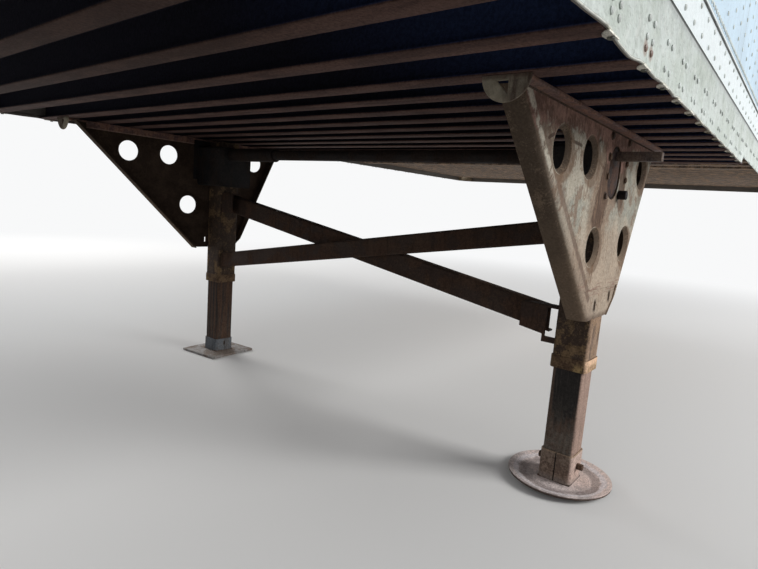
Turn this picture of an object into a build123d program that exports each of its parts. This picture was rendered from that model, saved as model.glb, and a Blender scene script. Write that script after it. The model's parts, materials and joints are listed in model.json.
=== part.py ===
"""Front underframe section of a semi trailer with its landing gear.

The section runs from the nose to just behind the landing gear. X points to the
nose, Y to the trailer's left, Z up. The origin is on the kingpin's axis, at the
bearing face of the coupler plate. All sizes are in millimetres.
"""
from build123d import *
from math import acos, atan2, cos, degrees, hypot, sin
import os

# Overall section
body_width = 2600
nose_x = 914
rear_x = -3820
leg_x = -2150
leg_inset = 300
ground_z = -1228

# Crossmembers: rolled I beams
beam_under_z = -60
beam_depth = 102
beam_flange = 58
beam_flange_t = 6
beam_web_t = 5
rear_beam_count = 5
rear_beam_pitch = 199
bay_beam_count = 11
bay_beam_pitch = 145.5
first_bay_offset = -628
last_rear_offset = -777
clip_r = 26
clip_sink = 8
clip_forward = 18
clip_t = 3
clip_steps = 6

# Deck
deck_t = 35
plank_count = 8
plank_gap = 2

# Side and front rails
rail_web = 5
rail_edge = 8
rail_edge_depth = 10
rail_step = 3
rail_seam_above_edge = 145
rail_top_above_edge = 246
rail_bead = 10
ledge_width = 48
ledge_t = 5
lip_rise = 25
lip_rise_offset = 790
corner_r = 100

# Walls
wall_t = 30
wall_top_above_edge = 552

# Coupler
plate_t = 8
rib_flange = 40
rib_t = 5
rear_rib_count = 2
front_rib_count = 3
channel_count = 4
channel_gap = 92
channel_width = 75
channel_t = 6
channel_drop = 20
kingpin_boss_r = 38
kingpin_shoulder_r = 36.5
kingpin_shoulder_h = 35
kingpin_neck_r = 25.4
kingpin_neck_h = 35.5
kingpin_collar_r = 35.7
kingpin_drop = 84
kingpin_flange_r = 90
kingpin_flange_t = 14
round_gap = 0.3

# Legs
outer_tube = 114
outer_wall = 6
outer_corner_r = 12
tube_gap = 0.5
inner_wall = 8
inner_corner_r = 10
collar_low_z = -816
collar_h = 34
collar_wall = 4
collar_lip_h = 8
guide_gap = 0.3
inner_in_outer = 300

# Wing plates
wing_t = 6
wing_bend_r = 26
wing_low_z = -638
wing_rear_top = -762
wing_rear_low = -158
wing_front_low = 88
wing_front_knee = 142
wing_knee_rise = 50
wing_front_top = 395
rear_flange = 57
front_flange = 45
# the foot of the plate is pressed in against the leg
wing_press = 5
press_depth = 480
press_inset = 30
# the holes are pressed in to a smaller opening
hole_rim_r = 60
hole_r = 47
hole_press = 12
hole_land = 2
hole_sides = 28
# offset from the leg along X, depth below the crossmembers
wing_holes = ((-505, 108), (-296, 104), (241, 95), (-182, 350), (131, 341))
slot_w = 9
slot_h = 26
# offset from the leg along X, height above the wing's low edge
wing_slots = ((-70, 42), (70, 62))

# Mounting angles and their rounded ends
angle_t = 8
angle_reach = 30
angle_drop = 32
angle_rear = -794
angle_front = 372
angle_gap = 2
# how far the end tab's centre and its slot are inside the wing's face
tab_in = 17
tab_slot_in = 38
tab_r = 54
tab_t = 6
tab_slot_drop = 11
tab_slot_w = 27
tab_slot_h = 27

# Gear cases, covers, shafts
case_rear = -128
case_front = 66
case_top_drop = 42
case_h = 200
case_depth = 84.5
case_edge_r = 14
case_flange_rear = -150
case_flange_front = 60
case_flange_drop = 10
case_flange_h = 202
cover_w = 100
cover_h = 144
cover_recess = 2.5
cover_gap = 7.5
cover_x = -67
cover_drop = 125
lug_r = 14
lug_length = 26
lug_x = 0
lug_drop = 186
input_side = 27
input_reach = 124
input_x = -52
input_drop = 74
shaft_r = 24
shaft_wall = 4
shaft_x = -50
shaft_drop = 76
sleeve_r = 32.5
sleeve_length = 340

# Cross braces: folded channels
brace_rear_h = 79
brace_front_h = 92
brace_depth = 40
brace_t = 6
brace_bend_r = 10
# height of the brace's middle above the ground, at the right leg, then the left
brace_rear_ends = (860, 530)
brace_front_ends = (543, 840)
# the front brace stops short of the right leg and hangs on a bracket
brace_short = 43
bracket_t = 8
bracket_top = 604
bracket_reach = 131
bracket_notch = 37
bracket_strap_low = 478
bracket_strap_h = 20
bracket_tie = 10
high_bracket_reach = 90
high_bracket_h = 104

# Feet
pad_r = 172
pad_t = 9
pad_dish = 16
pad_dish_r = 118
pad_sides = 48
plate_length = 285
plate_width = 255
plate_turn = 5
foot_plate_t = 12
socket_wall = 5.2
socket_floor = 10
socket_hole = 30
# heights above the ground, at the right foot, then the left
socket_tops = (115, 80)
pin_heights = (68, 54)
pin_r = 11
pin_end = 20
pin_slot_w = 10
pin_slot_h = 22

half_width = body_width / 2
leg_y = half_width - leg_inset
beam_top_z = beam_under_z + beam_depth
deck_top_z = beam_top_z + deck_t
rail_seam_z = beam_under_z + rail_seam_above_edge
rail_top_z = beam_under_z + rail_top_above_edge
wall_top_z = beam_under_z + wall_top_above_edge
inside_y = half_width - rail_edge
inner_tube = outer_tube - 2 * (outer_wall + tube_gap)
tube_out_y = leg_y + outer_tube / 2
tube_in_y = leg_y - outer_tube / 2
wing_out_y = tube_out_y + wing_press + wing_t
wing_top_z = beam_under_z - angle_t
side_end_x = nose_x - corner_r

os.makedirs("parts", exist_ok=True)


def block(x0, x1, y0, y1, z0, z1):
    return Pos((x0 + x1) / 2, (y0 + y1) / 2, (z0 + z1) / 2) * Box(x1 - x0, y1 - y0, z1 - z0)


def across(points, x0, x1):
    """A (y, z) outline drawn along X."""
    face = Plane.YZ.offset(x0) * make_face(Polyline(*points, close=True))
    return extrude(face, amount=x1 - x0)


def along(points, y0, y1):
    """An (x, z) outline drawn along Y."""
    face = Plane.XZ.offset(-y1) * make_face(Polyline(*points, close=True))
    return extrude(face, amount=y1 - y0)


def above(points, z0, z1):
    """An (x, y) outline drawn along Z."""
    face = Plane.XY.offset(z0) * make_face(Polyline(*points, close=True))
    return extrude(face, amount=z1 - z0)


def taper(radius, end_radius, length, sides):
    """A round form of flat strips that narrows along Z."""
    slope = degrees(atan2(radius - end_radius, length))
    return extrude(RegularPolygon(radius, sides), amount=length, taper=slope)


def left_of(shape):
    return mirror(shape, Plane.XZ)


def save(name, *shapes):
    solids = [solid for shape in shapes for solid in shape.solids()]
    export_step(solids[0] if len(solids) == 1 else Compound(solids), f"parts/{name}.step")


def save_pair(name, *shapes):
    save(f"{name}_right", *shapes)
    save(f"{name}_left", *[left_of(shape) for shape in shapes])


def side_outline(points):
    """Distances in from the outer face become places on the right side."""
    return [(-half_width + inward, z) for inward, z in points]


def rail_points():
    return (
        (0, beam_under_z),
        (rail_edge, beam_under_z),
        (rail_edge, beam_under_z + rail_edge_depth),
        (rail_web, beam_under_z + rail_edge_depth + rail_step),
        (rail_web, beam_top_z - rail_step),
        (rail_edge, beam_top_z),
        (rail_edge, deck_top_z),
        (rail_edge + ledge_width, deck_top_z),
        (rail_edge + ledge_width, deck_top_z + ledge_t),
        (rail_edge, deck_top_z + ledge_t),
        (rail_edge, rail_top_z),
        (0, rail_top_z),
        (0, rail_top_z - rail_bead),
        (rail_step, rail_top_z - rail_bead),
        (rail_step, rail_seam_z),
        (0, rail_seam_z),
    )


def make_rails():
    rail = across(side_outline(rail_points()), rear_x, side_end_x)
    rise_x = leg_x + lip_rise_offset
    cut = along(
        (
            (rise_x, beam_under_z - 1),
            (rise_x + lip_rise, beam_under_z + lip_rise),
            (nose_x, beam_under_z + lip_rise),
            (nose_x, beam_under_z - 1),
        ),
        -half_width - 1,
        -half_width + rail_edge + 1,
    )
    save_pair("rail", rail - cut)
    low = beam_under_z + lip_rise
    front = along(
        (
            (nose_x, low),
            (nose_x, rail_top_z),
            (nose_x - rail_edge, rail_top_z),
            (nose_x - rail_edge, low),
        ),
        -half_width + corner_r,
        half_width - corner_r,
    )
    save("front_rail", front)


def make_walls():
    inner = rail_edge + wall_t
    foot_z = deck_top_z + ledge_t
    points = (
        (rail_edge, foot_z),
        (inner, foot_z),
        (inner, wall_top_z),
        (rail_step, wall_top_z),
        (rail_step, rail_top_z),
        (rail_edge, rail_top_z),
    )
    save_pair("side_panel", across(side_outline(points), rear_x, side_end_x))
    front = [(nose_x - inward, z) for inward, z in points]
    save("front_panel", along(front, -half_width + corner_r, half_width - corner_r))


def make_corners():
    centre = (side_end_x, -half_width + corner_r)
    low = beam_under_z + lip_rise
    height = wall_top_z - low
    inner_r = corner_r - rail_edge - wall_t
    ring = Cylinder(corner_r, height) - Cylinder(inner_r, height)
    quarter = ring & Pos(corner_r / 2, -corner_r / 2, 0) * Box(corner_r, corner_r, height)
    save_pair("corner_post", Pos(*centre, low + height / 2) * quarter)


def i_beam(x):
    half, web = beam_flange / 2, beam_web_t / 2
    low, top = beam_under_z, beam_top_z
    lower, upper = low + beam_flange_t, top - beam_flange_t
    right = [(half, low), (half, lower), (web, lower), (web, upper), (half, upper), (half, top)]
    outline = right + [(-dx, z) for dx, z in reversed(right)]
    return along([(x + dx, z) for dx, z in outline], -inside_y, inside_y)


def beam_places():
    last = leg_x + last_rear_offset
    rear = [last - rear_beam_pitch * i for i in range(rear_beam_count)]
    first = leg_x + first_bay_offset
    return rear, [first + bay_beam_pitch * i for i in range(bay_beam_count)]


def channel_places():
    """Rear faces of the channels, ahead of the last I beam."""
    first = beam_places()[1][-1] + beam_flange / 2 + channel_gap
    return [first + (channel_width + channel_gap) * i for i in range(channel_count)]


def clip_outline(x):
    """A half moon inside the rail's edge, its curve in a few straight steps."""
    half_turn = acos(clip_sink / clip_r)
    turns = [half_turn * (2 * i / clip_steps - 1) for i in range(clip_steps + 1)]
    centre_y = -half_width - clip_sink
    return [(x + clip_r * sin(turn), centre_y + clip_r * cos(turn)) for turn in turns]


def make_crossmembers():
    rear, bay = beam_places()
    save("crossmembers_rear", *[i_beam(x) for x in rear])
    save("crossmembers_bay", *[i_beam(x) for x in bay])
    clips = [
        above(clip_outline(x + clip_forward), beam_under_z - clip_t, beam_under_z)
        for x in rear + bay
        if x + clip_forward + clip_r < leg_x + lip_rise_offset
    ]
    save_pair("beam_clips", *clips)


def make_deck():
    width = (2 * inside_y - plank_gap * (plank_count - 1)) / plank_count
    planks = []
    for i in range(plank_count):
        y0 = -inside_y + i * (width + plank_gap)
        planks.append(block(rear_x, side_end_x, y0, y0 + width, beam_top_z, deck_top_z))
    save("deck_boards", *planks)


def rib_places(x0, x1, count):
    """Rear faces of ribs with the same space before, between and after them."""
    space = (x1 - x0 - count * rib_flange) / (count + 1)
    return [x0 + space + (space + rib_flange) * i for i in range(count)]


def make_coupler():
    front_x = nose_x - rail_edge
    plate_rear_x = channel_places()[-1] + channel_width
    hole = Cylinder(kingpin_boss_r + round_gap, 4 * plate_t)
    plate = block(plate_rear_x, front_x, -inside_y + corner_r, inside_y - corner_r, 0, plate_t)
    wide = block(plate_rear_x, side_end_x, -inside_y, inside_y, 0, plate_t)
    save("coupler_plate", plate + wide - hole)
    ribs = []
    behind = rib_places(plate_rear_x, -kingpin_flange_r, rear_rib_count)
    ahead = rib_places(kingpin_flange_r, front_x, front_rib_count)
    for x in behind + ahead:
        outer = block(x, x + rib_flange, -inside_y, inside_y, plate_t, beam_top_z)
        inner = block(
            x + rib_t, x + rib_flange, -inside_y, inside_y, plate_t + rib_t, beam_top_z - rib_t
        )
        ribs.append(outer - inner)
    save("coupler_ribs", *ribs)
    channels = []
    for x in channel_places():
        outer = block(x, x + channel_width, -inside_y, inside_y, -channel_drop, beam_top_z)
        inner = block(
            x + channel_t,
            x + channel_width,
            -inside_y,
            inside_y,
            channel_t - channel_drop,
            beam_top_z - channel_t,
        )
        channels.append(outer - inner)
    save("front_channels", *channels)
    neck_top = -kingpin_shoulder_h
    neck_low = neck_top - kingpin_neck_h
    half_outline = (
        (0, plate_t + kingpin_flange_t),
        (kingpin_flange_r, plate_t + kingpin_flange_t),
        (kingpin_flange_r, plate_t),
        (kingpin_boss_r, plate_t),
        (kingpin_boss_r, 0),
        (kingpin_shoulder_r, 0),
        (kingpin_shoulder_r, neck_top),
        (kingpin_neck_r, neck_top),
        (kingpin_neck_r, neck_low),
        (kingpin_collar_r, neck_low),
        (kingpin_collar_r, -kingpin_drop),
        (0, -kingpin_drop),
    )
    face = Plane.XZ * make_face(Polyline(*half_outline, close=True))
    save("kingpin", revolve(face, Axis.Z))


def square_bar(side, height, corner):
    bar = Box(side, side, height)
    return fillet(bar.edges().filter_by(Axis.Z), corner) if corner else bar


def square_ring(outer, outer_r, inner, inner_r, z0, z1):
    """A square tube with rounded corners on the right leg's axis."""
    height = z1 - z0
    ring = square_bar(outer, height, outer_r) - square_bar(inner, height, inner_r)
    return Pos(leg_x, -leg_y, (z0 + z1) / 2) * ring


def make_legs():
    tube = square_ring(
        outer_tube, outer_corner_r, outer_tube - 2 * outer_wall, 0, collar_low_z, wing_top_z
    )
    save_pair("outer_leg", tube)
    collar, collar_r = outer_tube + 2 * collar_wall, outer_corner_r + collar_wall
    band = square_ring(
        collar, collar_r, outer_tube, outer_corner_r, collar_low_z, collar_low_z + collar_h
    )
    lip = square_ring(
        collar, collar_r, inner_tube + 2 * guide_gap, inner_corner_r + guide_gap,
        collar_low_z - collar_lip_h, collar_low_z,
    )
    save_pair("leg_collar", band + lip)
    inner = square_ring(
        inner_tube, inner_corner_r, inner_tube - 2 * inner_wall, 0,
        ground_z + foot_plate_t + socket_floor, collar_low_z + inner_in_outer,
    )
    save_pair("inner_leg", inner)


def wing_rear_x(z, inset=0):
    """Where the plate's sloping rear side, moved in by inset, is at a height."""
    run, rise = wing_rear_low - wing_rear_top, wing_top_z - wing_low_z
    return leg_x + wing_rear_top + (run * (wing_top_z - z) + inset * hypot(run, rise)) / rise


def wing_front_x(z, inset=0):
    """The same for its front side, above the knee."""
    run, rise = wing_front_top - wing_front_knee, wing_top_z - wing_low_z - wing_knee_rise
    return leg_x + wing_front_top - (run * (wing_top_z - z) + inset * hypot(run, rise)) / rise


def wing_outline(inset=0):
    """The plate's outline in the XZ plane, its two sloping sides moved in."""
    low, knee, top = wing_low_z, wing_low_z + wing_knee_rise, wing_top_z
    knee_x = wing_front_x(knee, inset)
    return (
        (wing_rear_x(top, inset), top),
        (wing_rear_x(low, inset), low),
        (knee_x + wing_front_low - wing_front_knee, low),
        (knee_x, knee),
        (wing_front_x(top, inset), top),
    )


def bent(solid, face_y, radius):
    """Rounds the sloping edges of the face at face_y."""
    edges = [
        edge
        for edge in solid.edges()
        if abs(edge.tangent_at(0.5).Z) > 0.5 and abs(edge.center().Y - face_y) < 0.1
    ]
    return fillet(edges, radius)


def folded_sheet():
    """The plate without its holes: a face and two flanges of different width."""
    face_y = -wing_out_y
    inner_y = face_y + rear_flange
    outer = bent(along(wing_outline(), face_y, inner_y), face_y, wing_bend_r)
    hollow = along(wing_outline(wing_t), face_y + wing_t, inner_y)
    hollow = bent(hollow, face_y + wing_t, wing_bend_r - wing_t)
    front = block(
        leg_x, leg_x + wing_front_top + 1, face_y + front_flange, inner_y + 1,
        wing_low_z - 1, wing_top_z + 1,
    )
    return outer - hollow - front


def wing_foot(inset, top, y0, y1):
    """The plate's outline below a height, as a solid from y0 to y1."""
    rear, front = leg_x + wing_rear_top, leg_x + wing_front_top
    return along(wing_outline(inset), y0, y1) & block(rear, front, y0, y1, wing_low_z, top)


def pressed_foot(sheet):
    """Presses the foot of the plate in, so that it lies on the leg."""
    face_y = -wing_out_y
    press_y = face_y + wing_press
    step_z = beam_under_z - press_depth
    cut = wing_foot(press_inset, step_z, face_y, press_y)
    foot = wing_foot(press_inset - wing_t, step_z + wing_t, press_y, press_y + wing_t)
    return sheet - cut + foot


def pressed_hole():
    """The disc that is cut for one hole, and the rim that fills it, along +Y."""
    outer_r = hole_rim_r + hole_land
    disc = extrude(RegularPolygon(outer_r, hole_sides), amount=wing_t)
    back = taper(outer_r, hole_r + wing_t, hole_press - wing_t, hole_sides)
    back = Pos(0, 0, wing_t) * back
    bore = taper(hole_rim_r, hole_r, hole_press, hole_sides)
    inward = Rotation(-90, 0, 0)
    return inward * disc, inward * (disc + back - bore)


def on_wing(dx, z, depth, shape):
    """Puts a shape on the right wing, depth inward from its face."""
    return Pos(leg_x + dx, -wing_out_y + depth, z) * shape


def obround(width, height, thickness):
    """A slot's shape standing in the XZ plane, from its front at y = 0."""
    face = Plane.XZ * SlotOverall(height, width, rotation=90)
    return extrude(face, amount=-thickness)


def make_wings():
    wing = pressed_foot(folded_sheet())
    disc, rim = pressed_hole()
    for dx, drop in wing_holes:
        z = beam_under_z - drop
        wing = wing - on_wing(dx, z, 0, disc) + on_wing(dx, z, 0, rim)
    opening = obround(cover_w + 2 * cover_gap, cover_h + 2 * cover_gap, wing_t)
    wing -= on_wing(cover_x, beam_under_z - cover_drop, 0, opening)
    for dx, rise in wing_slots:
        slot = Box(slot_w, 4 * wing_t, slot_h)
        wing -= on_wing(dx, wing_low_z + rise, wing_t, slot)
    save_pair("wing_plate", wing)


def make_mounting_angles():
    face_y = -wing_out_y
    back_y = face_y + wing_t + angle_t
    rear, front = leg_x + angle_rear, leg_x + angle_front
    flat = block(rear, front, face_y - angle_reach, back_y, wing_top_z, beam_under_z)
    low = beam_under_z - angle_drop
    stretches = (
        (wing_rear_x(low, wing_bend_r), leg_x + case_flange_rear - angle_gap),
        (leg_x + case_flange_front + angle_gap, wing_front_x(low, wing_bend_r)),
    )
    uprights = [
        block(x0, x1, face_y + wing_t, back_y, low, wing_top_z) for x0, x1 in stretches
    ]
    save_pair("mounting_angle", flat + uprights)
    disc = Rotation(0, 90, 0) * Cylinder(tab_r, tab_t)
    below = Pos(0, 0, -tab_r) * Box(4 * tab_t, 4 * tab_r, 2 * tab_r)
    tab = Pos(rear - tab_t / 2, face_y + tab_in, beam_under_z) * (disc & below)
    slot_y, slot_z = face_y + tab_slot_in, beam_under_z - tab_slot_drop
    slot = across(
        (
            (slot_y, slot_z),
            (slot_y - tab_slot_w, slot_z),
            (slot_y - tab_slot_w, slot_z - tab_slot_h),
        ),
        rear - 2 * tab_t,
        rear + tab_t,
    )
    save_pair("angle_end_tab", tab - slot)


def make_gear_cases():
    top = beam_under_z - case_top_drop
    case = block(
        leg_x + case_rear, leg_x + case_front, -tube_out_y, -tube_in_y + case_depth,
        top - case_h, top,
    )
    case = fillet(case.edges().filter_by(Axis.Y), case_edge_r)
    leg = Pos(leg_x, -leg_y, top - case_h / 2)
    case -= leg * square_bar(outer_tube, 2 * case_h, outer_corner_r)
    flange_top = beam_under_z - case_flange_drop
    case += block(
        leg_x + case_flange_rear, leg_x + case_flange_front, -tube_out_y - wing_press,
        -tube_out_y, flange_top - case_flange_h, flange_top,
    )
    save_pair("gear_case", case)
    cover = obround(cover_w, cover_h, wing_t - cover_recess)
    save_pair("gear_cover", on_wing(cover_x, beam_under_z - cover_drop, cover_recess, cover))
    lug = Rotation(90, 0, 0) * Cylinder(lug_r, lug_length)
    save("cover_lug", on_wing(lug_x, beam_under_z - lug_drop, -lug_length / 2, lug))
    half = input_side / 2
    middle = beam_under_z - input_drop
    save(
        "input_shaft",
        block(
            leg_x + input_x - half, leg_x + input_x + half, -wing_out_y - input_reach,
            -wing_out_y + cover_recess, middle - half, middle + half,
        ),
    )


def make_cross_shaft():
    end_y = tube_in_y - case_depth
    place = Pos(leg_x + shaft_x, 0, beam_under_z - shaft_drop) * Rotation(90, 0, 0)
    shaft_length = 2 * end_y - sleeve_length
    shaft = Cylinder(shaft_r, shaft_length) - Cylinder(shaft_r - shaft_wall, shaft_length)
    save("cross_shaft", Pos(0, -sleeve_length / 2, 0) * place * shaft)
    sleeve = Cylinder(sleeve_r, sleeve_length) - Cylinder(shaft_r - shaft_wall, sleeve_length)
    save("shaft_sleeve", Pos(0, end_y - sleeve_length / 2, 0) * place * sleeve)


def channel_between(ends, height, back_x, short=0):
    """A channel between the legs, its web at back_x, its flanges forward.

    Its ends are heights above the ground at the legs' faces, right then left.
    """
    drop = height / 2
    right_z, left_z = [ground_z + end for end in ends]
    lean = (left_z - right_z) / (2 * tube_in_y)
    right_y = short - tube_in_y
    right_z += lean * short
    wall = brace_t * hypot(1, lean)

    def band(inset, x0):
        low, high = inset - drop, drop - inset
        return across(
            (
                (right_y, right_z + low),
                (tube_in_y, left_z + low),
                (tube_in_y, left_z + high),
                (right_y, right_z + high),
            ),
            x0,
            back_x + brace_depth,
        )

    outer = band(0, back_x)
    long_edges = [
        edge
        for edge in outer.edges()
        if edge.length > tube_in_y and abs(edge.center().X - back_x) < 0.1
    ]
    return fillet(long_edges, brace_bend_r) - band(wall, back_x + brace_t)


def make_braces():
    save("brace_rear", channel_between(brace_rear_ends, brace_rear_h, leg_x - brace_depth))
    save(
        "brace_front", channel_between(brace_front_ends, brace_front_h, leg_x, brace_short)
    )
    back = leg_x - brace_depth - bracket_t
    top = ground_z + bracket_top
    strap = ground_z + bracket_strap_low
    leg_face, notch, end = -tube_in_y, bracket_notch - tube_in_y, bracket_reach - tube_in_y
    lean = (brace_front_ends[1] - brace_front_ends[0]) / (2 * tube_in_y)
    brace_low = ground_z + brace_front_ends[0] - brace_front_h / 2
    hook = across(
        (
            (leg_face, top),
            (leg_face, top - bracket_t),
            (notch, top - bracket_t),
            (notch, strap + bracket_strap_h),
            (leg_face, strap + bracket_strap_h),
            (leg_face, strap),
            (notch + bracket_tie, strap),
            (notch + bracket_tie, brace_low + lean * (bracket_notch + bracket_tie)),
            (end, brace_low + lean * bracket_reach),
            (end, top),
        ),
        back,
        back + bracket_t,
    )
    shelf = block(back, leg_x, leg_face, end, top - bracket_t, top)
    save("bracket_low_right", hook + shelf)
    top = ground_z + brace_front_ends[1] + brace_front_h / 2 + bracket_t
    y0, y1 = tube_in_y - high_bracket_reach, tube_in_y
    upright = block(back, back + bracket_t, y0, y1, top - high_bracket_h, top)
    shelf = block(back, leg_x, y0, y1, top - bracket_t, top)
    save("bracket_high_left", upright + shelf)


def socket(floor_z, top_z):
    """A square cup round the inner leg, with a hole in its floor."""
    inner = inner_tube + 2 * guide_gap
    inner_r = inner_corner_r + guide_gap
    outer, outer_r = inner + 2 * socket_wall, inner_r + socket_wall
    sleeve = square_ring(outer, outer_r, inner, inner_r, floor_z + socket_floor, top_z)
    base = square_ring(outer, outer_r, socket_hole, 0, floor_z, floor_z + socket_floor)
    return sleeve + base


def pin_ends(height):
    """The hexagon ends of the pin through a right foot's socket, outer then inner."""
    outside = inner_tube / 2 + guide_gap + socket_wall
    end = extrude(Plane.XZ * RegularPolygon(pin_r, 6), amount=pin_end)
    place = Pos(leg_x, -leg_y, ground_z + height)
    return [place * Pos(0, -outside, 0) * end, place * Pos(0, outside + pin_end, 0) * end]


def make_feet():
    base_z = ground_z + foot_plate_t
    right, left = [socket(base_z, ground_z + top) for top in socket_tops]
    save("socket_right", right)
    slot = Pos(leg_x, inner_tube / 2 - leg_y, ground_z + pin_heights[1])
    left -= slot * Box(pin_slot_w, 4 * socket_wall, pin_slot_h)
    save("socket_left", left_of(left))
    top = pad_dish + pad_t
    downward = Rotation(180, 0, 0)
    flare = Pos(0, 0, pad_dish) * downward * taper(pad_r, pad_dish_r, pad_dish, pad_sides)
    rim = Pos(0, 0, pad_dish) * extrude(RegularPolygon(pad_r, pad_sides), amount=pad_t)
    dish = downward * taper(pad_r, pad_dish_r, top - foot_plate_t, pad_sides)
    pad = flare + rim - Pos(0, 0, top) * dish
    save("foot_pad_right", Pos(leg_x, -leg_y, ground_z) * pad)
    plate = Rotation(0, 0, plate_turn) * Box(plate_length, plate_width, foot_plate_t)
    save("foot_plate_left", Pos(leg_x, leg_y, ground_z + foot_plate_t / 2) * plate)
    save("foot_pin_right", *pin_ends(pin_heights[0]))
    save("foot_pin_left", left_of(pin_ends(pin_heights[1])[0]))


make_rails()
make_walls()
make_corners()
make_crossmembers()
make_deck()
make_coupler()
make_legs()
make_wings()
make_mounting_angles()
make_gear_cases()
make_cross_shaft()
make_braces()
make_feet()
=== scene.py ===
import bpy
import json
import math
import random
from mathutils import Matrix, Vector

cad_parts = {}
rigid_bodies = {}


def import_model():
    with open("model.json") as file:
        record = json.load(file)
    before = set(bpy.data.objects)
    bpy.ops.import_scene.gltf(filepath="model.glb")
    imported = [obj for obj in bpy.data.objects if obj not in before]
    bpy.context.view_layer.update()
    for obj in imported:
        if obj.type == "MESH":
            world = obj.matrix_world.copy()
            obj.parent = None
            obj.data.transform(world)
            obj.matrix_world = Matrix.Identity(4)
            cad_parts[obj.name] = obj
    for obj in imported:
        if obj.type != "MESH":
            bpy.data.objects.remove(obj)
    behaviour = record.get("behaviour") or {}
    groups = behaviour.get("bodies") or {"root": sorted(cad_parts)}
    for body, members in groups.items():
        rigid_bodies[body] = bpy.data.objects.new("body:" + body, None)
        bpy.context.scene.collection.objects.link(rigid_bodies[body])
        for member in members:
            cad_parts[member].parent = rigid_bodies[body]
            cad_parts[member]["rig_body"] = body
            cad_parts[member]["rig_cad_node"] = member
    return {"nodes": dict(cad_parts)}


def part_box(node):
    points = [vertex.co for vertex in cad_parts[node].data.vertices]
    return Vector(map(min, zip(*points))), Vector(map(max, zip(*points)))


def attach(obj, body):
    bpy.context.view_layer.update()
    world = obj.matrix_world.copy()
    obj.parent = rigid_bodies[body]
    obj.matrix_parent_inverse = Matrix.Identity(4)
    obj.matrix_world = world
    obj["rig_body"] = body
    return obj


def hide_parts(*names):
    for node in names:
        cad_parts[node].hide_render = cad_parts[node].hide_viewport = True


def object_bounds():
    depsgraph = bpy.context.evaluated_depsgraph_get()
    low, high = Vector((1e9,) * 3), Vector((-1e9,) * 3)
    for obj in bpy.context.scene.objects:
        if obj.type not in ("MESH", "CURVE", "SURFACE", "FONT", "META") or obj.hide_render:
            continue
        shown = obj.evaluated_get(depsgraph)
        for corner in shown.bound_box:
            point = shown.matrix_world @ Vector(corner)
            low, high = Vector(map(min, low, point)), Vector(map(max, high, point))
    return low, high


# All sizes are in metres. X runs to the nose, Y to the trailer's left, Z up.
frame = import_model()
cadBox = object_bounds()
nodes = frame["nodes"]
for node in nodes.values():
    node.select_set(False)
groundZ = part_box("foot_plate_left")[0].z
legX = (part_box("outer_leg_right")[0].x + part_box("outer_leg_right")[1].x) / 2
legY = (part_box("outer_leg_left")[0].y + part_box("outer_leg_left")[1].y) / 2
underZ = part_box("crossmembers_rear")[0].z
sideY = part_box("rail_left")[1].y
rearX, noseX = cadBox[0].x, cadBox[1].x
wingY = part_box("wing_plate_left")[1].y
random.seed(7)
print("frame loaded:", len(nodes), "nodes")


# A socket that takes part in sums, so shader maths reads as an expression.
class Value:
    def __init__(self, maker, socket):
        self.maker, self.socket = maker, socket

    def math(self, operation, *others):
        return self.maker.node("ShaderNodeMath", {"operation": operation}, (self, *others))

    def __add__(self, other):
        return self.math("ADD", other)

    def __sub__(self, other):
        return self.math("SUBTRACT", other)

    def __rsub__(self, other):
        return self.maker.node("ShaderNodeMath", {"operation": "SUBTRACT"}, (other, self))

    def __mul__(self, other):
        return self.math("MULTIPLY", other)

    def __truediv__(self, other):
        return self.math("DIVIDE", other)

    def __neg__(self):
        return self * -1

    __radd__ = __add__

    def smaller(self, other):
        return self.math("MINIMUM", other)

    def larger(self, other):
        return self.math("MAXIMUM", other)

    def absolute(self):
        return self.math("ABSOLUTE")

    def squared(self):
        return self * self

    def fromTo(self, low, high):  # 0 at low, 1 at high, eased, and held outside
        return self.maker.node(
            "ShaderNodeMapRange", {"interpolation_type": "SMOOTHSTEP"}, {0: self, 1: low, 2: high}
        )

    def near(self, middle, width):  # 1 at a place, down to 0 at a width from it
        return 1 - (self - middle).absolute().fromTo(width * 0.4, width)


# A node tree, whose nodes all come from one method.
class Maker:
    def __init__(self, tree):
        self.tree = tree

    def node(self, kind, settings=None, sockets=(), out=0):
        made = self.tree.nodes.new(kind)
        for key, value in (settings or {}).items():
            setattr(made, key, value)
        pairs = sockets.items() if isinstance(sockets, dict) else enumerate(sockets)
        for key, value in pairs:
            socket = made.inputs[key]
            if isinstance(value, Value):
                self.tree.links.new(value.socket, socket)
            else:
                socket.default_value = rgba(value) if socket.type == "RGBA" else value
        return Value(self, made.outputs[out])

    def parts(self, vector):
        split = self.node("ShaderNodeSeparateXYZ", sockets=(vector,))
        return [Value(self, out) for out in split.socket.node.outputs]

    def seenDirectly(self):  # 1 for what the camera sees, also in gloss and through glass
        path = self.node("ShaderNodeLightPath", out="Is Camera Ray")
        rays = path.socket.node.outputs
        glossy, clear = Value(self, rays["Is Glossy Ray"]), Value(self, rays["Is Transmission Ray"])
        return path.larger(glossy).larger(clear)


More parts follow.
